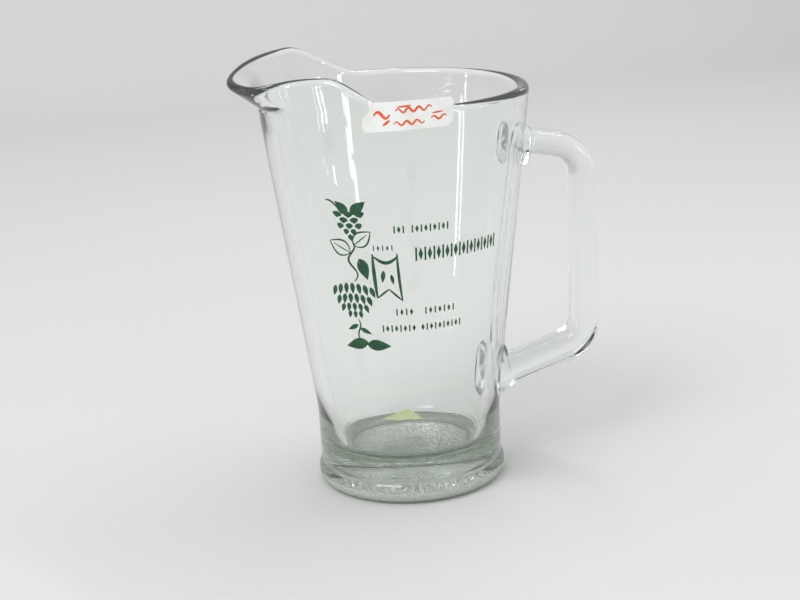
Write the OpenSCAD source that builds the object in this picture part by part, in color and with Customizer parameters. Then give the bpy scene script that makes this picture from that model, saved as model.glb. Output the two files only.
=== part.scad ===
// Glass serving pitcher: heavy pressed bowl with a tooled beak, a D handle welded on,
// a printed front and two paper labels.
// Units mm, +Z up. Origin: the bowl's axis where it meets the table.
// Beak towards -X, handle towards +X, printed side towards -Y.

/* [Bowl outside] */
// Outside radius of the rim
rim_r = 74; // [60:0.5:90]
// Height of the rim above the table, away from the beak
rim_h = 221.5; // [184:0.5:266]
// Outside radius of the straight wall just above the foot
waist_r = 51.4; // [42:0.1:62]
// Height at which the wall starts to widen
flare_h = 43.5; // [36:0.5:60]
// Radius of the soft blend between the straight wall and the flare
waist_blend = 150; // [60:5:240]
// How far the foot bead stands out past the straight wall
foot_out = 1.7; // [0.5:0.1:4]
// Radius of the foot bead's round section
foot_bead = 7.1; // [4:0.1:9]
// Width of the flat ring the base stands on
bearing_w = 9; // [4:0.5:16]
// Depth of the shallow hollow under the base
punt_h = 2.4; // [0.5:0.1:6]

/* [Bowl inside] */
// Thickness of the wall at the rim, which is fully rounded
rim_wall = 6.6; // [4:0.1:10]
// Thickness of the wall where it would reach the floor
floor_wall = 11.6; // [6:0.1:16]
// Height of the inside floor above the table
floor_h = 22.5; // [12:0.5:34]
// Radius of the fillet between floor and wall
floor_fillet = 7; // [3:0.5:14]

/* [Beak] */
// How far the beak is pulled out past the rim
beak_out = 15.8; // [6:0.1:24]
// Half angle over which most of the pull happens, degrees
beak_w = 20; // [12:0.5:30]
// Rise of the two humps beside the beak
hump_h = 17.8; // [6:0.1:26]
// How much lower the front hump is than the back one
hump_lean = 1.8; // [0:0.1:4]
// Drop of the lip between the humps, where it pours
dip_h = 8; // [0:0.1:12]
// Angle of the deepest point of the drop, degrees towards the front
dip_a = 10; // [-15:0.5:20]
// Half width of the drop, degrees
dip_w = 21; // [12:0.5:30]
// Thinning of the lip at the tip of the beak
beak_thin = 0.8; // [0:0.1:1.6]

/* [Handle] */
// Distance from the rim's outside to the middle of the upright grip
grip_out = 31.7; // [24:0.1:44]
// Depth below the rim where the upper arm's line crosses the grip's line
upper_drop = 41.8; // [34:0.1:60]
// Height where the lower arm's line crosses the grip's line
lower_z = 68.2; // [56:0.5:96]
// Fall of the upper arm towards the grip, degrees
upper_fall = 12; // [0:0.5:20]
// Fall of the lower arm towards the bowl, degrees
lower_fall = 16.5; // [0:0.5:26]
// Bend radius of the upper corner, at the middle of the glass
upper_bend = 20; // [14:0.5:28]
// Bend radius of the lower corner, at the middle of the glass
lower_bend = 17; // [13:0.5:26]
// Half thickness of the handle at the upper arm
handle_a_top = 7; // [5:0.1:10]
// Half thickness of the handle at the lower arm
handle_a_low = 8.5; // [5:0.1:11]
// Half width of the handle across the grip
handle_b = 9.4; // [6:0.1:12]
// Extra half height of the upper pad where it meets the wall
upper_pad = 4.2; // [2:0.1:9]
// Extra half height of the lower pad where it meets the wall
lower_pad = 6; // [2:0.1:10]
// How far the upper pad's middle lies below its arm's line
upper_sink = 3.4; // [0:0.1:6]
// How far the lower pad's middle lies above its arm's line
lower_lift = 2.5; // [0:0.1:6]
// Extra half width of both pads
pad_wide = 3; // [1:0.5:8]
// Thickness of both pads before they narrow into the arms
pad_thick = 2.2; // [0.5:0.1:5]
// Length over which a pad narrows into its arm
pad_len = 5; // [3:0.5:10]

/* [Print and labels] */
// Angle of the printed sprig from the front, degrees
sprig_a = -34.5; // [-60:0.5:20]
// Angle of the printed pennant from the front, degrees
pennant_a = -19.2; // [-60:0.5:40]
// Height of the title band's middle
title_z = 144.6; // [110:0.5:170]
// Length of the price label along the wall
label_l = 46.5; // [30:0.5:60]
// Height of the price label
label_h = 15.4; // [8:0.2:20]
// Depth of the price label's lower edge below the rim
label_drop = 10.9; // [8:0.1:30]
// Angle of the price label's middle from the front, degrees
label_a = -6.2; // [-30:0.2:30]
// Thickness of the printed film
film = 0.06; // [0.04:0.01:0.2]
// Thickness of label paper
paper = 0.16; // [0.1:0.01:0.3]

/* [Hidden] */
$fn = 96;

weld_gap = 0.02;       // clearance between the handle's pads and the wall
print_gap = 0.02;      // clearance between a print or label and what it lies on
foot_r = waist_r + foot_out;
punt_r = foot_r - foot_bead - bearing_w;
floor_r = waist_r - floor_wall;
grip_x = rim_r + grip_out;
upper_z = rim_h - upper_drop;
label_z = rim_h - label_drop;
print_low = 84;        // the print lies between these two heights
print_high = 180;
split_h = rim_h - 18.5; // the turned bowl ends here and the tooled ring begins
ring_inset = 0.1;      // the ring's seat is this much inside the turned wall
rim_in = rim_r - rim_wall;
wall_slope = (rim_r - waist_r) / (rim_h - flare_h);
bore_slope = (rim_in - floor_r) / (rim_h - floor_h);
flare_a = atan(wall_slope);
lean_cos = cos(atan((wall_slope + bore_slope) / 2)); // the wall's true thickness over its level one
bead_x = foot_r - foot_bead;
bead_end = acos((waist_r - 0.3 - bead_x) / foot_bead);
beak_root = rim_h - 4; // the pull starts here
tip_soft = 3;          // rounds the tip of the beak, degrees
ring_step = 5;         // angle between the tooled ring's sections
seg = 24;              // points round the handle's section

function clamp01(t) = max(0, min(1, t));
function smooth(t) = let (c = clamp01(t)) c * c * (3 - 2 * c);
function arc(cx, cz, r, a0, a1, n) =
    [for (i = [0:n]) let (a = a0 + (a1 - a0) * i / n) [cx + r * cos(a), cz + r * sin(a)]];

// ---- bowl profile
function outer_r(z) = waist_r + (z - flare_h) * wall_slope;
function bore_r(z) = floor_r + (z - floor_h) * bore_slope;
function mid_r(z) = (outer_r(z) + bore_r(z)) / 2;
function half_wall(z) = (outer_r(z) - bore_r(z)) / 2;

function waist_curve(off) =
    arc(waist_r + waist_blend + off, flare_h - waist_blend * tan(flare_a / 2), waist_blend,
        180, 180 - flare_a, 6);
function fillet_curve(off, n) =
    let (b = 90 - atan(bore_slope), t = floor_fillet * tan(b / 2))
    arc(floor_r - t, floor_h + floor_fillet, floor_fillet - off, -90, -90 + b, n);
function outside_curve(off) = concat(
    arc(bead_x, foot_bead, foot_bead + off, -90, bead_end, 14),
    [[waist_r - 0.35 + off, foot_bead + foot_bead * sin(bead_end) + 1.2],
     [waist_r - 0.1 + off, foot_bead + foot_bead * sin(bead_end) + 2.6]],
    [[waist_r + off, foot_bead + foot_bead * sin(bead_end) + 4.2]],
    waist_curve(off));
punt_curve = concat([[0, punt_h]],
    [for (i = [0:6]) let (t = 0.1 + 0.9 * i / 6) [punt_r * t, punt_h * (1 - pow((t - 0.1) / 0.9, 2))]]);

module bowl_turned() {
    rotate_extrude()
        polygon(concat(
            punt_curve,
            [[punt_r + 1.5, 0]],
            outside_curve(0),
            [[outer_r(split_h), split_h], [bore_r(split_h), split_h]],
            [for (i = [7:-1:0]) fillet_curve(0, 7)[i]],
            [[0, floor_h]]));
}

// ---- tooled ring: a is the angle from the beak's tip, positive towards the front
function lip_out(a) = beak_out * exp(-pow((sqrt(a * a + tip_soft * tip_soft) - tip_soft) / beak_w, 1.25))
    * (1 - smooth((abs(a) - 40) / 25));
function lip_up(a) = abs(a) >= 90 ? 0 :
    (hump_h - hump_lean * sin(a)) * smooth((a + 90) / 44) * (1 - smooth((a - 50) / 30))
    - dip_h * exp(-pow((a - dip_a) / dip_w, 2)) * smooth((90 - abs(a)) / 20);
function lip_r(a) = rim_wall / 2 * lean_cos - beak_thin * exp(-pow(a / 30, 2)) * smooth((90 - abs(a)) / 20);
function spine(a, s) =
    let (top = rim_h + lip_up(a) - lip_r(a), z = split_h + s * (top - split_h))
    [mid_r(min(z, rim_h)) + lip_out(a) * pow(clamp01((z - beak_root) / (top - beak_root)), 1.15), z];
function across(a, s) =
    let (p = spine(a, s - 0.01), q = spine(a, s + 0.01), d = q - p, n = norm(d)) [d[1] / n, -d[0] / n];
function along(a, s) = let (n = across(a, s)) [-n[1], n[0]];
function wall_at(a, s) = (1 - s) * half_wall(split_h) * lean_cos + s * lip_r(a);
levels = [0.15, 0.3, 0.45, 0.6, 0.7, 0.8, 0.9];
function ring_section(a) = concat(
    [spine(a, 0) + [half_wall(split_h) - ring_inset, 0]],
    [for (s = levels) spine(a, s) + across(a, s) * wall_at(a, s)],
    [for (i = [0:8]) let (u = 22.5 * i)
        spine(a, 1) + lip_r(a) * (cos(u) * across(a, 0.98) + sin(u) * along(a, 0.98))],
    [for (i = [len(levels) - 1:-1:0]) let (s = levels[i]) spine(a, s) - across(a, s) * wall_at(a, s)],
    [spine(a, 0) - [half_wall(split_h) - ring_inset, 0]]);

module loft(rings) {
    n = len(rings[0]);
    m = len(rings);
    polyhedron(
        points = [for (r = rings) each r],
        faces = concat(
            [for (j = [0:m - 2]) for (i = [0:n - 1]) let (k = (i + 1) % n)
                [j * n + i, (j + 1) * n + k, j * n + k]],
            [for (j = [0:m - 2]) for (i = [0:n - 1]) let (k = (i + 1) % n)
                [j * n + i, (j + 1) * n + i, (j + 1) * n + k]],
            [[for (i = [0:n - 1]) i]],
            [[for (i = [n - 1:-1:0]) (m - 1) * n + i]]));
}

module bowl_ring() {
    rotate([0, 0, -90])
        rotate_extrude(angle = 180)
            polygon(ring_section(90));
    loft([for (a = [90:-ring_step:-90])
        [for (p = ring_section(a)) [-p[0] * cos(a), -p[0] * sin(a), p[1]]]]);
}

module glass_body() {
    color([0.82, 0.93, 0.88, 0.4])
        union() {
            bowl_turned();
            bowl_ring();
        }
}

// ---- handle: a loft along a D path, cut to the wall it is welded to
upper_turn = 90 - upper_fall;
lower_turn = 90 - lower_fall;
a_start = [grip_x - upper_bend * tan(upper_turn / 2) * cos(upper_fall),
           upper_z + upper_bend * tan(upper_turn / 2) * sin(upper_fall)];
a_mid = [grip_x - upper_bend, upper_z - upper_bend * tan(upper_turn / 2)];
b_mid = [grip_x - lower_bend, lower_z + lower_bend * tan(lower_turn / 2)];
b_end = [grip_x - lower_bend * tan(lower_turn / 2) * cos(lower_fall),
         lower_z - lower_bend * tan(lower_turn / 2) * sin(lower_fall)];
// where each arm's middle line meets the wall
upper_hit = outer_r(a_start[1] + (a_start[0] - rim_r) * sin(upper_fall));
lower_hit = outer_r(b_end[1] - (b_end[0] - waist_r) * sin(lower_fall));
function thick_at(t) = handle_a_top + (handle_a_low - handle_a_top) * t;
function swell(d) = 1 - smooth((d - pad_thick) / pad_len);
// a station is [x, z, heading, half thickness, half width]; a pad lies flat to the wall
function upper_station(d) =
    let (x = upper_hit + d)
    [x, a_start[1] + (a_start[0] - x) * tan(upper_fall) - upper_sink * swell(d),
        -upper_fall + (upper_fall - flare_a) * swell(d),
        handle_a_top + upper_pad * swell(d), handle_b + pad_wide * swell(d)];
function lower_station(d) =
    let (x = lower_hit + d)
    [x, b_end[1] - (b_end[0] - x) * tan(lower_fall) + lower_lift * swell(d),
        -180 + lower_fall - (lower_fall + flare_a) * swell(d),
        handle_a_low + lower_pad * swell(d), handle_b + pad_wide * swell(d)];
pad_steps = [-6, 0, 1.6, 2.6, 3.6, 4.6, 5.6, 6.6, 8, 10];
stations = concat(
    [for (d = pad_steps) upper_station(d)],
    [for (i = [0:8]) let (h = -upper_fall - upper_turn * i / 8)
        [a_mid[0] + upper_bend * cos(h + 90), a_mid[1] + upper_bend * sin(h + 90), h,
         thick_at(0.25 * i / 8), handle_b]],
    [for (i = [1:3]) let (t = i / 4)
        [grip_x, a_mid[1] + (b_mid[1] - a_mid[1]) * t, -90, thick_at(0.25 + 0.5 * t), handle_b]],
    [for (i = [0:8]) let (h = -90 - lower_turn * i / 8)
        [b_mid[0] + lower_bend * cos(h + 90), b_mid[1] + lower_bend * sin(h + 90), h,
         thick_at(0.75 + 0.25 * i / 8), handle_b]],
    [for (i = [len(pad_steps) - 1:-1:0]) lower_station(pad_steps[i])]);
// the section is a rounded rectangle
function bulge(v) = sign(v) * pow(abs(v), 0.6);
function station_ring(st) =
    [for (i = [0:seg - 1]) let (u = 360 * i / seg, p = st[3] * bulge(cos(u)), q = st[4] * bulge(sin(u)))
        [st[0] - p * sin(st[2]), q, st[1] + p * cos(st[2])]];

module wall_cutter(off) {
    rotate_extrude()
        polygon(concat([[0, 0], [bead_x, 0]], outside_curve(off),
            [[outer_r(rim_h) + off, rim_h], [0, rim_h]]));
}

module handle() {
    color([0.82, 0.93, 0.88, 0.4])
        difference() {
            loft([for (st = stations) station_ring(st)]);
            wall_cutter(weld_gap);
        }
}

// ---- films on the wall
module wall_skin(gap, thick, low, high) {
    difference() {
        translate([0, 0, low])
            cylinder(h = high - low, r1 = outer_r(low) + gap + thick, r2 = outer_r(high) + gap + thick);
        translate([0, 0, low - 1])
            cylinder(h = high - low + 2, r1 = outer_r(low - 1) + gap, r2 = outer_r(high + 1) + gap);
    }
}
// stands flat artwork (x along the wall, y up) through the wall at an angle from the front
decal_from = outer_r(print_low) - 2.5;
module decal(angle) {
    rotate([0, 0, angle])
        translate([0, -decal_from, 0])
            rotate([90, 0, 0])
                linear_extrude(height = rim_r + 8 - decal_from)
                    children();
}
module film_print() {
    color([0.06, 0.27, 0.15])
        intersection() {
            union() children();
            wall_skin(print_gap, film, print_low, print_high);
        }
}
// a stroke: the points of a line, each with its own half width
function ribbon(pts, w) =
    let (n = len(pts),
         d = [for (i = [0:n - 1]) let (v = pts[min(i + 1, n - 1)] - pts[max(i - 1, 0)]) v / norm(v)])
    concat([for (i = [0:n - 1]) pts[i] + w * (0.45 + 0.55 * sin(180 * i / (n - 1))) * [-d[i][1], d[i][0]]],
           [for (i = [n - 1:-1:0]) pts[i] - w * (0.45 + 0.55 * sin(180 * i / (n - 1))) * [-d[i][1], d[i][0]]]);
// a leaf or petal: a lens l long and w wide, its foot at the origin
function petal(l, w, lean = 0) = concat(
    [for (i = [0:8]) let (t = i / 8) [-w / 2 * sin(180 * pow(t, 0.75)) + lean * t * t, l * t]],
    [for (i = [7:-1:1]) let (t = i / 8) [w / 2 * sin(180 * pow(t, 0.75)) + lean * t * t, l * t]]);
module petal_at(x, y, l, w, turn, lean = 0) {
    translate([x, y])
        rotate(turn)
            polygon(petal(l, w, lean));
}
module stroke(pts, w) {
    polygon(ribbon(pts, w));
}
// a hop cone hanging from [x, y]: staggered rows of separate scales, narrowing downwards
module hop_cone(x, y, wide, rows, step) {
    for (r = [0:rows - 1]) {
        taper = 1 - 0.6 * pow(r / rows, 1.5);
        n = r % 2 == 0 ? 3 : 2;
        for (c = [0:n - 1])
            petal_at(x + (c - (n - 1) / 2) * wide * 0.31 * taper, y - r * step,
                step * 1.12, wide * 0.27 * taper, 180 + (c - (n - 1) / 2) * 16);
    }
    petal_at(x, y - rows * step, step * 1.1, wide * 0.16, 180);
}
// an outlined leaf: two curved edges and a midrib, its foot at [x, y]
module leaf_outline(x, y, l, w, turn) {
    translate([x, y])
        rotate(turn) {
            stroke([for (t = [0:0.125:1]) [w / 2 * sin(180 * pow(t, 0.8)), l * t]], 0.5);
            stroke([for (t = [0:0.125:1]) [-w / 2 * sin(180 * pow(t, 0.8)), l * t]], 0.5);
            stroke([for (t = [0:0.25:1]) [0, l * 0.8 * t]], 0.35);
        }
}

module print_sprig() {
    film_print() {
        // the upper cone under two dark leaves, with a curling tendril
        decal(sprig_a) {
            hop_cone(-0.5, 168.6, 19, 4, 3.1);
            petal_at(-0.5, 167.6, 9.5, 5.4, 52, 0.8);
            petal_at(0.5, 167.6, 11, 5.8, -58, -0.8);
            stroke([for (t = [0:0.1:1]) [-6 - 7 * t, 170 + 4.5 * t + 1.5 * sin(180 * t)]], 0.55);
        }
        // the bine and its leaves
        decal(sprig_a) {
            stroke([for (t = [0:0.0625:1]) [-1 + 2.2 * sin(540 * t), 154 - 24 * t]], 0.6);
            leaf_outline(-1.6, 146, 13, 8.5, 62);
            leaf_outline(0.6, 150, 12.5, 8, -52);
        }
        // a dark leaf reaching towards the pennant
        decal(sprig_a + 6.5)
            petal_at(-4.4, 143, 12.5, 6.2, -158, 1);
        // the large lower cone
        decal(sprig_a - 0.5) {
            for (i = [0:6])
                petal_at(-12.1 + 3.3 * i, 129.4 - 0.25 * (i - 3) * (i - 3), 6.6, 2.7, 180 + 6 * (i - 3));
            for (i = [0:5]) petal_at(-10.2 + 3.2 * i, 123.4 - 0.25 * pow(i - 2.5, 2), 6, 2.7, 180 + 7 * (i - 2.5));
            for (i = [0:4]) petal_at(-8.2 + 3 * i, 118 - 0.2 * (i - 2) * (i - 2), 5.2, 2.5, 180 + 9 * (i - 2));
            for (i = [0:2]) petal_at(-5 + 2.8 * i, 113.4, 4.4, 2.3, 180 + 10 * (i - 1));
        }
        // the stem below it
        decal(sprig_a + 1) {
            stroke([for (t = [0:0.125:1]) [-2.4 + 0.9 * sin(360 * t), 108.6 - 12 * t]], 0.5);
            petal_at(-2.8, 105.5, 7.2, 2.6, 118);
            petal_at(-2, 103.6, 7.2, 2.6, -118);
        }
        // two broad leaves at the foot
        decal(sprig_a + 1.5) {
            petal_at(1.5, 95.5, 13.5, 6.4, 98, -1.2);
            petal_at(0.5, 94, 13, 6.4, -88, 1);
        }
    }
}

// a blank swallow-tailed pennant between two short poles
pennant_w = 12.6; // distance between the poles
module print_pennant() {
    film_print()
        decal(pennant_a) {
            stroke([for (t = [0:0.125:1]) [-pennant_w / 2 - 0.6 + 1.2 * t * t, 145.5 - 24.5 * t]], 1.0);
            stroke([for (t = [0:0.125:1]) [pennant_w / 2 - 0.4 + 1.4 * t * t, 145.5 - 26.5 * t]], 0.75);
            stroke([for (t = [0:0.125:1]) [-pennant_w / 2 + pennant_w * t, 144 - 3.4 * sin(180 * t)]], 1.0);
            stroke([for (t = [0:0.25:1]) [-pennant_w / 2 + 0.6 + pennant_w / 2 * t, 121 + 5 * t]], 0.6);
            stroke([for (t = [0:0.25:1]) [pennant_w / 2 + 0.6 - pennant_w / 2 * t, 119.6 + 6.4 * t]], 0.6);
            petal_at(-1.6, 136.4, 7, 2.4, 172);
            petal_at(2.2, 134.2, 6, 2.0, 190);
        }
}

// a band of upright bars and lozenges, in place of wording
module mark_row(a0, a1, n, z, tall, wide, skip) {
    for (i = [0:n - 1])
        if (len([for (k = skip) if (k == i) k]) == 0)
            decal(a0 + (a1 - a0) * i / (n - 1))
                translate([0, z])
                    if (i % 2 == 0)
                        square([wide * 0.42, tall], center = true);
                    else
                        polygon([[-wide / 2, 0], [0, -tall / 2], [wide / 2, 0], [0, tall / 2]]);
}
module print_top_row() {
    film_print() mark_row(-14.5, 10, 13, 158.6, 4, 1.9, [3]);
}
module print_title() {
    film_print() mark_row(-5, 38, 21, title_z, 7.4, 2.4, []);
}
module print_small_mark() {
    film_print() mark_row(-24.5, -16, 5, 148.8, 3, 1.4, []);
}
module print_upper_row() {
    film_print() mark_row(-15.5, 13.5, 13, 112.8, 3.8, 1.8, [4, 5]);
}
module print_lower_row() {
    film_print() mark_row(-23, 17.5, 19, 103.6, 3.8, 1.8, [8]);
}

// ---- paper labels
function label_edge(inset) = let (l = label_l / 2 - inset, h = label_h - inset, b = inset) [
    [-l + 1.2, b], [l - 3.2, b + 1.0], [l - 0.4, b + 3.6], [l, h - 2.2], [l - 1.4, h + 0.4],
    [-l + 3.4, h], [-l + 3.8, h - 4.4], [-l + 0.8, h - 7.6], [-l, b + 3.4]];
module price_label() {
    color([0.93, 0.95, 0.92])
        intersection() {
            decal(label_a) translate([0, label_z]) polygon(label_edge(0));
            wall_skin(print_gap, paper, label_z - 5.6, label_z + label_h + 3);
        }
}
// a wavy pen line that spells nothing, rising slightly to the right
module wavy(x, y, run, tall, waves, w) {
    stroke([for (i = [0:16 * waves]) let (t = i / (16 * waves))
        [x + run * t, y + 0.05 * run * t + tall / 2 * sin(360 * waves * t)]], w);
}
module dash(x, y, run, rise, w) {
    stroke([for (t = [0:0.25:1]) [x + run * t, y + rise * t]], w);
}
module label_ink() {
    color([0.85, 0.33, 0.16])
        intersection() {
            decal(label_a)
                translate([0, label_z]) {
                    wavy(-17.4, 8.6, 8, 3.6, 1, 0.8);
                    wavy(-6.6, 10.6, 18.4, 2.2, 3.5, 0.6);
                    dash(-5.6, 12.6, 7, 0.5, 0.5);
                    dash(-13, 3.4, 3.4, 2.6, 0.7);
                    wavy(-7.6, 4, 15.6, 2, 3, 0.55);
                    wavy(11.4, 5.8, 8, 1.8, 1.5, 0.55);
                    dash(12, 8.4, 5.6, 0.4, 0.45);
                }
            wall_skin(2 * print_gap + paper, film, label_z - 5.6, label_z + label_h + 3);
        }
}
// a torn scrap lying in the corner between the floor and the back of the wall
// each point is across the pitcher, then in from the wall
torn_edge = [[-12, 11.8], [-8.2, 8.2], [-3, 4.4], [3, 2.2], [8.4, 2.6], [11.4, 6.8], [12.2, 13.8],
             [10.4, 19.2], [4.6, 16.4], [-1.2, 17], [-5.6, 14.2]];
torn_in = floor_r - 21.8; // the scrap's sheet starts here
module torn_label() {
    color([0.80, 0.87, 0.58])
        intersection() {
            rotate_extrude()
                polygon(concat(
                    [[torn_in, floor_h + print_gap]], fillet_curve(print_gap, 7),
                    [for (i = [7:-1:0]) fillet_curve(print_gap + paper, 7)[i]],
                    [[torn_in, floor_h + print_gap + paper]]));
            translate([0, 0, floor_h - 1])
                linear_extrude(height = 14)
                    polygon([for (p = torn_edge) [p[0], floor_r - p[1]]]);
        }
}

glass_body();
handle();
print_sprig();
print_pennant();
print_top_row();
print_title();
print_small_mark();
print_upper_row();
print_lower_row();
price_label();
label_ink();
torn_label();
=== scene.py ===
"""A heavy pressed-glass serving pitcher in a plain pale studio.

The bowl and the handle are made again here, smoother than in the frame. The enamel print, the price label,
its ink and the scrap of paper keep the frame's own shapes and get their finishes.
"""

import math

import bmesh
import bpy
from mathutils import Matrix, Vector


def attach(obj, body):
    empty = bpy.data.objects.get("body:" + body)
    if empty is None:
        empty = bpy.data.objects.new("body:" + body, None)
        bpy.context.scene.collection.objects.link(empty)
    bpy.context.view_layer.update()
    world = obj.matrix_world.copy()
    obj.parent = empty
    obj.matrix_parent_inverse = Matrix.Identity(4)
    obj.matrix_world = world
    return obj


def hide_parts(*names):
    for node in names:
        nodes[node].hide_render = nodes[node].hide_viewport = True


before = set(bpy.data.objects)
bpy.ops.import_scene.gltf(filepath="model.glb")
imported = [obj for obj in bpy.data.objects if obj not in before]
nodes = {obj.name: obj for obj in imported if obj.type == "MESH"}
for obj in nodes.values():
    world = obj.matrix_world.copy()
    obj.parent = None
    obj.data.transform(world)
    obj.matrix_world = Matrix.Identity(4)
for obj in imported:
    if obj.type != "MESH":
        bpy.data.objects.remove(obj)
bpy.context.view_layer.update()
scene = bpy.context.scene
MM = 0.001


# ---------------------------------------------------------------- shader maths
class Value:
    """One output socket of a finish. Python's operators on it add Math nodes."""

    def __init__(self, finish, socket):
        self.finish, self.socket = finish, socket

    def out(self, name):
        return Value(self.finish, self.socket.node.outputs[name])

    def math(self, operation, first, second):
        return self.finish.node("Math", {"operation": operation}, {0: first, 1: second})

    def __add__(self, other):
        return self.math("ADD", self, other)

    __radd__ = __add__

    def __mul__(self, other):
        return self.math("MULTIPLY", self, other)

    __rmul__ = __mul__

    def step(self, low, high):
        """0 below low, 1 above high and smooth between."""
        span = {"Value": self, "From Min": low, "From Max": high}
        return self.finish.node("MapRange", {"interpolation_type": "SMOOTHSTEP"}, span)


class Finish:
    """A material under construction."""

    def __init__(self, name):
        self.material = bpy.data.materials.new(name)
        self.material.use_nodes = True
        self.tree = self.material.node_tree
        self.tree.nodes.clear()
        self.output = self.tree.nodes.new("ShaderNodeOutputMaterial")

    def node(self, kind, settings=None, sockets=None):
        """Adds one node: its settings first, then the values or links of its sockets."""
        made = self.tree.nodes.new("ShaderNode" + kind)
        for name, value in (settings or {}).items():
            setattr(made, name, value)
        for name, value in (sockets or {}).items():
            if isinstance(value, Value):
                self.tree.links.new(value.socket, made.inputs[name])
            else:
                made.inputs[name].default_value = value
        shown = [o for o in made.outputs if o.enabled]
        return Value(self, shown[0])

    def place(self):
        return self.node("TexCoord").out("Object")

    def noise(self, size, detail=2.0, stretch=(1, 1, 1)):
        """Soft noise whose lumps are about size metres across."""
        spot = self.node("Mapping", None, {"Vector": self.place(), "Scale": stretch})
        return self.node("TexNoise", None, {"Vector": spot, "Scale": 1 / size, "Detail": detail}).out("Fac")

    def mix(self, share, first, second):
        """A colour between two, each written out or worked out by other nodes."""
        colours = {
            6: first if isinstance(first, Value) else (*first, 1),
            7: second if isinstance(second, Value) else (*second, 1),
        }
        made = self.tree.nodes.new("ShaderNodeMix")
        made.data_type = "RGBA"
        for name, value in {0: share, **colours}.items():
            if isinstance(value, Value):
                self.tree.links.new(value.socket, made.inputs[name])
            else:
                made.inputs[name].default_value = value
        return Value(self, made.outputs[2])

    def bump(self, height, strength, distance):
        return self.node("Bump", None, {"Height": height, "Strength": strength, "Distance": distance})

    def surface(self, **sockets):
        """The Principled shader, and the finished material."""
        names = {name.replace("_", " "): value for name, value in sockets.items()}
        shader = self.node("BsdfPrincipled", None, names)
        self.tree.links.new(shader.socket, self.output.inputs["Surface"])
        return self.material


def paint(piece, *materials):
    """Gives a piece its materials. Clearing resets the faces' indices, so a new piece isn't cleared."""
    if piece.data.materials:
        piece.data.materials.clear()
    for material in materials:
        piece.data.materials.append(material)


# ---------------------------------------------------------------- finishes
def tinted(f):
    """The faint green that thick glass shows along its depth."""
    depth = f.node("VolumeAbsorption", None, {"Color": (0.70, 0.86, 0.69, 1), "Density": 4.5})
    f.tree.links.new(depth.socket, f.output.inputs["Volume"])


def clear_glass():
    f = Finish("clear_glass")
    wave = f.noise(0.035, detail=1.0, stretch=(1, 1, 0.6))
    tinted(f)
    return f.surface(
        Base_Color=(0.99, 1.0, 0.993, 1), Roughness=0.0, IOR=1.5,
        Transmission_Weight=0.985, Normal=f.bump(wave, 0.12, 0.0006),
    )


def stippled_glass(name, grain, rough, clear):
    """Glass pressed against a stippled iron and scuffed by use."""
    f = Finish(name)
    stipple = f.noise(grain, detail=2.0)
    scuff = f.noise(0.006, detail=3.0)
    tinted(f)
    return f.surface(
        Base_Color=(0.95, 0.96, 0.92, 1), Roughness=rough + scuff * 0.3, IOR=1.5, Transmission_Weight=clear,
        Normal=f.bump(stipple, 1.0, 0.0012),
    )


def green_enamel():
    f = Finish("green_enamel")
    mottle = f.noise(0.0035, detail=4.0)
    fine = f.noise(0.0006, detail=2.0)
    colour = f.mix(mottle.step(0.35, 0.7), (0.004, 0.050, 0.018), (0.010, 0.105, 0.036))
    worn = (mottle * 0.45 + fine * 0.55).step(0.31, 0.36)
    return f.surface(
        Base_Color=colour, Roughness=0.34 + fine * 0.2, Alpha=worn, Normal=f.bump(fine, 0.3, 0.00005),
    )


def label_paper():
    f = Finish("label_paper")
    fibre = f.noise(0.0008, detail=5.0, stretch=(1, 1, 2.2))
    stain = f.noise(0.012, detail=3.0)
    colour = f.mix(stain.step(0.45, 0.8), (0.88, 0.90, 0.88), (0.80, 0.79, 0.70))
    colour = f.mix(fibre.step(0.55, 0.8) * 0.25, colour, (0.70, 0.72, 0.70))
    return f.surface(
        Base_Color=colour, Roughness=0.55 + fibre * 0.2, Coat_Weight=0.1, Normal=f.bump(fibre, 0.4, 0.00008),
    )


def pen_ink():
    f = Finish("pen_ink")
    streak = f.noise(0.0015, detail=3.0, stretch=(1, 1, 3))
    colour = f.mix(streak.step(0.35, 0.65), (0.70, 0.055, 0.02), (0.85, 0.16, 0.05))
    return f.surface(Base_Color=colour, Roughness=0.5 + streak * 0.2, Normal=f.bump(streak, 0.2, 0.00003))


def pale_scrap():
    f = Finish("pale_scrap")
    fibre = f.noise(0.001, detail=5.0)
    stain = f.noise(0.007, detail=3.0)
    colour = f.mix(stain.step(0.35, 0.7), (0.92, 0.97, 0.55), (0.85, 0.92, 0.46))
    colour = f.mix(fibre.step(0.5, 0.8) * 0.3, colour, (0.86, 0.90, 0.62))
    return f.surface(Base_Color=colour, Roughness=0.75 + fibre * 0.15, Normal=f.bump(fibre, 0.6, 0.0002))


# ---------------------------------------------------------------- the bowl's form, in mm
RIM_R = 74.0  # outside radius of the rim
RIM_H = 221.5  # height of the rim away from the beak
RIM_WALL = 6.6  # thickness of the wall at the rim
WAIST_R = 51.4  # outside radius just above the foot
FLARE_H = 43.5  # where the wall starts to widen
WAIST_BLEND = 150.0  # radius of the soft blend there
FOOT_R = 53.1  # outside radius of the foot bead
FOOT_BEAD = 7.1  # radius of the bead's round section
PUNT_R = 37.0  # radius and depth of the hollow underneath
PUNT_H = 2.4
FLOOR_R = 39.8  # where the inside wall would reach the floor
FLOOR_H = 22.5
FLOOR_FILLET = 7.0
BEAK_OUT = 15.8  # how far the beak is pulled out past the rim
BEAK_W = 20.0  # half angle over which most of the pull happens, degrees
BEAK_THIN = 0.8  # thinning of the lip at the beak's tip
HUMP_H = 17.8  # rise of the two humps beside the beak
HUMP_LEAN = 1.8  # how much lower the front hump is than the back one
DIP_H = 8.0  # drop of the lip between the humps
DIP_A = 10.0  # its angle and half width, degrees
DIP_W = 21.0
RING_LOW = RIM_H - 18.5  # the tooled ring starts here
RIB_DEEP = 0.35  # depth of the fine ribs round the foot
RIB_IN = 38.5  # they start at this radius and are whole RIB_EASE further out
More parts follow.
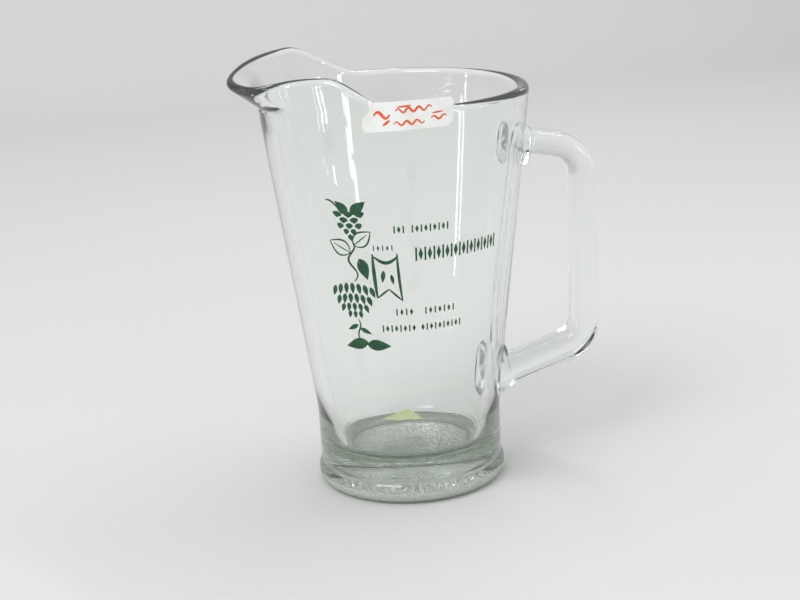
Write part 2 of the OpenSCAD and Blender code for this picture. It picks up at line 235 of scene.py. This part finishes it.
RIB_EASE = 1.5
RIB_WHOLE = 4.5  # they are whole up to this height and gone RIB_FADE above it
RIB_FADE = 4
STIPPLE_H = 7  # the pressed stipple reaches this height
BEARING_R = 44.5  # inside this radius it has the scuffed punt's finish, outside the ribbed foot's
WALL_SLOPE = (RIM_R - WAIST_R) / (RIM_H - FLARE_H)
BORE_SLOPE = (RIM_R - RIM_WALL - FLOOR_R) / (RIM_H - FLOOR_H)
FLARE = math.degrees(math.atan(WALL_SLOPE))
LEAN_COS = math.cos(math.atan((WALL_SLOPE + BORE_SLOPE) / 2))


def clamp01(t):
    return max(0.0, min(1.0, t))


def smooth(t):
    t = clamp01(t)
    return t * t * (3 - 2 * t)


def outer_r(z):
    return WAIST_R + (z - FLARE_H) * WALL_SLOPE


def bore_r(z):
    return FLOOR_R + (z - FLOOR_H) * BORE_SLOPE


def lip_out(a):
    pull = math.exp(-(((math.sqrt(a * a + 9) - 3) / BEAK_W) ** 1.25))
    return BEAK_OUT * pull * (1 - smooth((abs(a) - 40) / 25))


def lip_up(a):
    if abs(a) >= 90:
        return 0.0
    lean = HUMP_LEAN * math.sin(math.radians(a))
    hump = (HUMP_H - lean) * smooth((a + 90) / 44) * (1 - smooth((a - 50) / 30))
    return hump - DIP_H * math.exp(-(((a - DIP_A) / DIP_W) ** 2)) * smooth((90 - abs(a)) / 20)


def lip_r(a):
    return RIM_WALL / 2 * LEAN_COS - BEAK_THIN * math.exp(-((a / 30) ** 2)) * smooth((90 - abs(a)) / 20)


def spine(a, s):
    """The middle of the wall in the tooled ring, s from 0 at its foot to 1 at the lip."""
    top = RIM_H + lip_up(a) - lip_r(a)
    z = RING_LOW + s * (top - RING_LOW)
    pulled = clamp01((z - (RIM_H - 4)) / (top - (RIM_H - 4))) ** 1.15
    middle = min(z, RIM_H)
    return Vector(((outer_r(middle) + bore_r(middle)) / 2 + lip_out(a) * pulled, z))


def ring_point(kind, s, a):
    """A point of the tooled ring at angle a from the beak: on the wall's outside, inside or round its lip."""
    t = min(s, 0.98) if kind == "lip" else s
    run = spine(a, t + 0.01) - spine(a, t - 0.01)
    run.normalize()
    out = Vector((run.y, -run.x))
    low = (outer_r(RING_LOW) - bore_r(RING_LOW)) / 2 * LEAN_COS
    if kind == "lip":
        return spine(a, 1) + lip_r(a) * (math.cos(s) * out + math.sin(s) * run)
    half = (1 - s) * low + s * lip_r(a)
    return spine(a, s) + out * (half if kind == "outside" else -half)


def arc(cx, cz, r, first, last, steps):
    angles = [math.radians(first + (last - first) * i / steps) for i in range(steps + 1)]
    return [(cx + r * math.cos(t), cz + r * math.sin(t)) for t in angles]


def finished(mesh, name):
    """The mesh, worked in mm, as a smooth-shaded object at the origin, in metres."""
    bmesh.ops.scale(mesh, vec=(MM, MM, MM), verts=mesh.verts)
    for face in mesh.faces:
        face.smooth = True
    data = bpy.data.meshes.new(name)
    mesh.to_mesh(data)
    mesh.free()
    piece = bpy.data.objects.new(name, data)
    scene.collection.objects.link(piece)
    return piece


def bowl_rows():
    """The section from the punt's middle round to the floor's. A row is a point, or a place on the ring."""
    bead_x = FOOT_R - FOOT_BEAD
    bead_end = math.degrees(math.acos((WAIST_R - 0.3 - bead_x) / FOOT_BEAD))
    groove = FOOT_BEAD + FOOT_BEAD * math.sin(math.radians(bead_end))
    rows = [(PUNT_R * i / 12, PUNT_H * (1 - (i / 12) ** 2)) for i in range(13)]
    rows += [(PUNT_R + 1.5, 0), (PUNT_R + 5, 0)]
    rows += arc(bead_x, FOOT_BEAD, FOOT_BEAD, -90, bead_end, 22)
    rows += [(WAIST_R - 0.42, groove + 0.6), (WAIST_R - 0.35, groove + 1.2), (WAIST_R - 0.22, groove + 1.9)]
    rows += [(WAIST_R - 0.1, groove + 2.6), (WAIST_R - 0.03, groove + 3.4), (WAIST_R, groove + 4.2)]
    rows += [(WAIST_R, z) for z in (20, 24, 28, 31)]
    rows += arc(WAIST_R + WAIST_BLEND, FLARE_H - WAIST_BLEND * math.tan(math.radians(FLARE / 2)),
                WAIST_BLEND, 180, 180 - FLARE, 12)
    rows += [(outer_r(z), z) for z in [58 + 8.0 * i for i in range(18)]]
    ring = [("outside", i / 18) for i in range(19)]
    ring += [("lip", math.pi * i / 18) for i in range(1, 18)]
    ring += [("inside", 1 - i / 18) for i in range(19)]
    turn = 90 - math.degrees(math.atan(BORE_SLOPE))
    foot = FLOOR_FILLET * math.tan(math.radians(turn / 2))
    inner = [(bore_r(z), z) for z in [194 - 8.0 * i for i in range(21)]]
    inner += reversed(arc(FLOOR_R - foot, FLOOR_H + FLOOR_FILLET, FLOOR_FILLET, -90, -90 + turn, 14))
    inner += [((FLOOR_R - foot) * t, FLOOR_H) for t in (0.85, 0.6, 0.3, 0)]
    return rows + ring + inner


def glass_bowl():
    """The section spun once round, with its ring moved to the beak's form and its foot to fine ribs."""
    rows = bowl_rows()
    mesh = bmesh.new()
    row_of = mesh.verts.layers.int.new("row")
    chain = []
    for i, row in enumerate(rows):
        r, z = ring_point(*row, 90) if isinstance(row[0], str) else row
        v = mesh.verts.new((-r, 0, z))
        v[row_of] = i
        chain.append(v)
    edges = [mesh.edges.new(pair) for pair in zip(chain, chain[1:])]
    bmesh.ops.spin(mesh, geom=chain + edges, cent=(0, 0, 0), axis=(0, 0, 1), angle=2 * math.pi, steps=360,
                   use_merge=True)
    for face in mesh.faces:
        middle = face.calc_center_median()
        if middle.z < STIPPLE_H:
            face.material_index = 1 if Vector(middle.xy).length > BEARING_R else 2
    for v in mesh.verts:
        row = rows[v[row_of]]
        a = math.atan2(-v.co.y, -v.co.x)
        if isinstance(row[0], str):
            r, z = ring_point(*row, math.degrees(a))
            v.co = (-r * math.cos(a), -r * math.sin(a), z)
        elif v.co.z < RIB_WHOLE + RIB_FADE and RIB_IN < Vector(v.co.xy).length and round(math.degrees(a)) % 2:
            low = 1 - smooth((v.co.z - RIB_WHOLE) / RIB_FADE)
            deep = RIB_DEEP * low * smooth((Vector(v.co.xy).length - RIB_IN) / RIB_EASE)
            lift = deep if v.co.z < 3 else 0
            v.co = (v.co.x + deep * math.cos(a), v.co.y + deep * math.sin(a), v.co.z + lift)
    bmesh.ops.remove_doubles(mesh, verts=mesh.verts, dist=0.002)
    bmesh.ops.recalc_face_normals(mesh, faces=mesh.faces)
    return finished(mesh, "smooth_bowl")


# ---------------------------------------------------------------- the handle
GRIP_X = 105.7  # middle of the upright grip
UPPER_Z = 179.7  # heights where the two arms' lines cross the grip's
LOWER_Z = 68.2
UPPER_FALL = 12.0  # fall of the upper arm towards the grip, degrees
LOWER_FALL = 16.5  # fall of the lower arm towards the bowl, degrees
UPPER_BEND = 20.0  # bend radius of each corner
LOWER_BEND = 17.0
A_TOP = 7.0  # half thickness at the upper arm and at the lower one
A_LOW = 8.5
HALF_W = 9.4  # half width across the grip
UPPER_PAD = 4.2  # extra half height of each pad
LOWER_PAD = 6.0
UPPER_SINK = 3.4  # how far each pad's middle lies off its arm's line
LOWER_LIFT = 2.5
PAD_WIDE = 3.0  # extra half width of both pads
PAD_THICK = 2.2  # their thickness, and the length over which they narrow
PAD_LEN = 5.0
UPPER_TURN = 90 - UPPER_FALL
LOWER_TURN = 90 - LOWER_FALL
AROUND = 56  # points round the handle's section
CORNER = 0.6  # 1 would make the section an ellipse, and less squares it


def handle_stations():
    """Along the D: x, z, heading in degrees, half thickness and half width. A pad lies flat to the wall."""
    rad, tan = math.radians, lambda d: math.tan(math.radians(d))
    start_x = GRIP_X - UPPER_BEND * tan(UPPER_TURN / 2) * math.cos(rad(UPPER_FALL))
    start_z = UPPER_Z + UPPER_BEND * tan(UPPER_TURN / 2) * math.sin(rad(UPPER_FALL))
    mid_a = (GRIP_X - UPPER_BEND, UPPER_Z - UPPER_BEND * tan(UPPER_TURN / 2))
    mid_b = (GRIP_X - LOWER_BEND, LOWER_Z + LOWER_BEND * tan(LOWER_TURN / 2))
    end_x = GRIP_X - LOWER_BEND * tan(LOWER_TURN / 2) * math.cos(rad(LOWER_FALL))
    end_z = LOWER_Z - LOWER_BEND * tan(LOWER_TURN / 2) * math.sin(rad(LOWER_FALL))
    upper_hit = outer_r(start_z + (start_x - RIM_R) * math.sin(rad(UPPER_FALL)))
    lower_hit = outer_r(end_z - (end_x - WAIST_R) * math.sin(rad(LOWER_FALL)))

    def thick(t):
        return A_TOP + (A_LOW - A_TOP) * t

    def swell(d):
        return 1 - smooth((d - PAD_THICK) / PAD_LEN)

    def upper(d):
        x = upper_hit + d
        return (x, start_z + (start_x - x) * tan(UPPER_FALL) - UPPER_SINK * swell(d),
                -UPPER_FALL + (UPPER_FALL - FLARE) * swell(d),
                A_TOP + UPPER_PAD * swell(d), HALF_W + PAD_WIDE * swell(d))

    def lower(d):
        x = lower_hit + d
        return (x, end_z - (end_x - x) * tan(LOWER_FALL) + LOWER_LIFT * swell(d),
                -180 + LOWER_FALL - (LOWER_FALL + FLARE) * swell(d),
                A_LOW + LOWER_PAD * swell(d), HALF_W + PAD_WIDE * swell(d))

    def corner(middle, bend, first, turn, share):
        """Round one corner of the D. The glass thickens by a quarter of its taper, from share on."""
        made = []
        for i in range(21):
            heading = first - turn * i / 20
            out = rad(heading + 90)
            place = (middle[0] + bend * math.cos(out), middle[1] + bend * math.sin(out))
            made.append((*place, heading, thick(share + 0.25 * i / 20), HALF_W))
        return made

    steps = [-1.5, 0, 1, 1.6] + [2.2 + 0.4 * i for i in range(13)] + [7.6, 8.6, 10]
    stations = [upper(d) for d in steps]
    stations += corner(mid_a, UPPER_BEND, -UPPER_FALL, UPPER_TURN, 0)
    for i in range(1, 8):
        t = i / 8
        stations.append((GRIP_X, mid_a[1] + (mid_b[1] - mid_a[1]) * t, -90, thick(0.25 + 0.5 * t), HALF_W))
    stations += corner(mid_b, LOWER_BEND, -90, LOWER_TURN, 0.75)
    return stations + [lower(d) for d in reversed(steps)]


def glass_handle():
    """A rounded section is drawn out along the D, and its two ends close inside the wall."""
    mesh = bmesh.new()
    stations = handle_stations()

    def shape(loop, station):
        x, z, heading, thick, wide = station
        h = math.radians(heading)
        for i, v in enumerate(loop):
            u = 2 * math.pi * i / AROUND
            p = thick * math.copysign(abs(math.cos(u)) ** CORNER, math.cos(u))
            q = wide * math.copysign(abs(math.sin(u)) ** CORNER, math.sin(u))
            v.co = (x - p * math.sin(h), q, z + p * math.cos(h))

    loop = bmesh.ops.create_circle(mesh, cap_ends=False, segments=AROUND, radius=1)["verts"]
    shape(loop, stations[0])
    first = loop
    edges = list({e for v in loop for e in v.link_edges})
    for station in stations[1:]:
        drawn = bmesh.ops.extrude_edge_only(mesh, edges=edges)["geom"]
        edges = [e for e in drawn if isinstance(e, bmesh.types.BMEdge)
                 and all(v in drawn for v in e.verts) and len(e.link_faces) == 1]
        fresh = {v for v in drawn if isinstance(v, bmesh.types.BMVert)}
        loop = [next(e.other_vert(v) for e in v.link_edges if e.other_vert(v) in fresh) for v in loop]
        shape(loop, station)
    caps = [bmesh.ops.contextual_create(mesh, geom=end)["faces"][0] for end in (first, loop)]
    bmesh.ops.recalc_face_normals(mesh, faces=mesh.faces)
    for cap in caps:
        for edge in cap.edges:
            edge.smooth = False
    return finished(mesh, "smooth_handle")


glass = clear_glass()
bowl = glass_bowl()
ribbed_foot = stippled_glass("ribbed_foot", 0.0012, 0.3, 0.5)
scuffed_punt = stippled_glass("scuffed_punt", 0.002, 0.04, 0.9)
paint(bowl, glass, ribbed_foot, scuffed_punt)
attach(bowl, "root")
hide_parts("glass_body")

handle = glass_handle()
paint(handle, glass)
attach(handle, "root")
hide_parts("handle")

enamel = green_enamel()
for name in nodes:
    if name.startswith("print_"):
        paint(nodes[name], enamel)
paint(nodes["price_label"], label_paper())
paint(nodes["label_ink"], pen_ink())
paint(nodes["torn_label"], pale_scrap())


# ---------------------------------------------------------------- studio
def studio_paint():
    f = Finish("studio_paint")
    grain = f.noise(0.4, detail=2.0)
    colour = f.mix(grain, (0.59, 0.59, 0.58), (0.62, 0.62, 0.61))
    return f.surface(Base_Color=colour, Roughness=0.85)


def sweep():
    """Floor and backdrop in one curved sheet."""
    mesh = bmesh.new()
    line = [(-3.2, 0.0)] + [(1.3 + 0.5 * math.sin(math.radians(t)), 0.5 - 0.5 * math.cos(math.radians(t)))
                            for t in range(0, 91, 6)] + [(1.8, 2.4)]
    chain = [mesh.verts.new((-3.2, y, z)) for y, z in line]
    edges = [mesh.edges.new(pair) for pair in zip(chain, chain[1:])]
    drawn = bmesh.ops.extrude_edge_only(mesh, edges=edges)["geom"]
    bmesh.ops.translate(mesh, vec=(6.4, 0, 0), verts=[v for v in drawn if isinstance(v, bmesh.types.BMVert)])
    for face in mesh.faces:
        face.smooth = True
    data = bpy.data.meshes.new("studio_sweep")
    mesh.to_mesh(data)
    mesh.free()
    piece = bpy.data.objects.new("studio_sweep", data)
    scene.collection.objects.link(piece)
    paint(piece, studio_paint())


def soft_box(name, place, aim, size, watts):
    """A rectangular lamp at place, facing aim."""
    lamp = bpy.data.lights.new(name, "AREA")
    lamp.shape, lamp.size, lamp.size_y, lamp.energy = "RECTANGLE", size[0], size[1], watts
    box = bpy.data.objects.new(name, lamp)
    box.location = place
    box.rotation_euler = (Vector(aim) - Vector(place)).to_track_quat("-Z", "Y").to_euler()
    scene.collection.objects.link(box)


sweep()
soft_box("key_box", (-1.0, -0.9, 1.7), (0, 0, 0.1), (1.0, 1.0), 18)
soft_box("rim_strip", (0.6, 0.35, 1.5), (0, 0, 0.2), (1.6, 0.05), 7)
soft_box("low_lamp", (-1.25, -0.07, 0.15), (0, 0, 0.14), (0.06, 0.24), 0.6)
soft_box("back_box", (0.0, 0.7, 2.3), (0, 1.1, 0.0), (2.6, 1.4), 6)
windows = [(0.93, -1.24, 0.11, 0.42), (1.38, -0.70, 0.09, 0.36), (1.44, -0.56, 0.03, 0.1)]
panes = [(0.2, 0.085), (0.31, 0.11)]  # the height of a pane's middle, and how tall it is
for n, (x, y, wide, watts) in enumerate(windows):
    for z, tall in panes:
        soft_box(f"window_{n}_{round(z * 100)}", (x, y, z), (0, 0, 0.18), (wide, tall), watts * tall / 0.1)

world = bpy.data.worlds.new("studio_air")
world.use_nodes = True
world.node_tree.nodes["Background"].inputs["Color"].default_value = (0.88, 0.89, 0.91, 1)
world.node_tree.nodes["Background"].inputs["Strength"].default_value = 0.86
scene.world = world

# ---------------------------------------------------------------- camera
camera = bpy.data.objects.new("camera", bpy.data.cameras.new("camera"))
camera.data.lens, camera.data.sensor_width = 76.155, 36.0
camera.data.clip_start, camera.data.clip_end = 0.05, 20
right, up = Vector((0.974130, -0.220076, -0.051349)), Vector((0.109385, 0.260346, 0.959299))
back = right.cross(up)
camera.matrix_world = Matrix((
    (right.x, up.x, back.x, -0.188885),
    (right.y, up.y, back.y, -0.888634),
    (right.z, up.z, back.z, 0.364683),
    (0, 0, 0, 1),
))
scene.collection.objects.link(camera)
scene.camera = camera
scene.view_settings.view_transform = "Standard"
